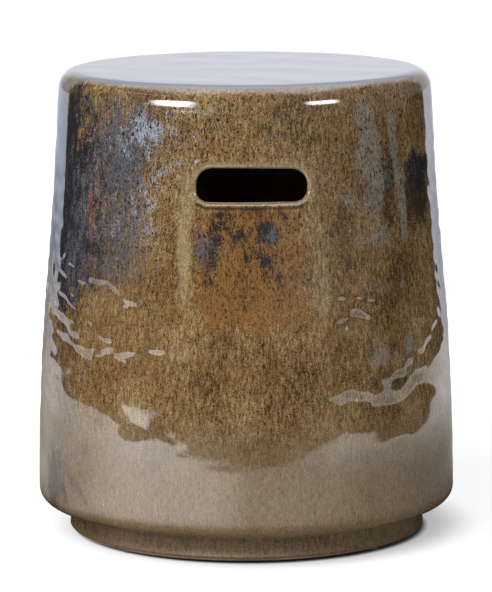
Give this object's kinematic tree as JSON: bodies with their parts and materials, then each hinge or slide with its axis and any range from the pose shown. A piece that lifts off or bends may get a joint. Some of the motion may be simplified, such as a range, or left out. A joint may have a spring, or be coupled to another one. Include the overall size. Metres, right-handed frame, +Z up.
{
  "type": "ceramic garden stool",
  "caption": "Glazed ceramic garden stool: hollow barrel with a flat round seat, opposite handholds and a recessed foot.",
  "frame": {"origin": "on the floor, under the middle of the seat", "axes": "+Z up through the seat, -Y out of the front handhold, +X to the right seen from the front"},
  "size_m": [0.4054, 0.4052, 0.45],
  "materials": {
    "glaze": "gloss",
    "clay": "matte",
    "felt": "matte"
  },
  "bodies": {
    "root": {"drum_wall": "clay", "seat_slab": "clay", "seat_joint_coil": "clay", "base_ring": "clay", "base_joint_coil": "clay", "foot_ring": "clay", "front_collar": "glaze", "rear_collar": "glaze", "glaze_coat": "glaze", "floor_pad_1": "felt", "floor_pad_2": "felt", "floor_pad_3": "felt", "floor_pad_4": "felt"}
  },
  "joints": []
}
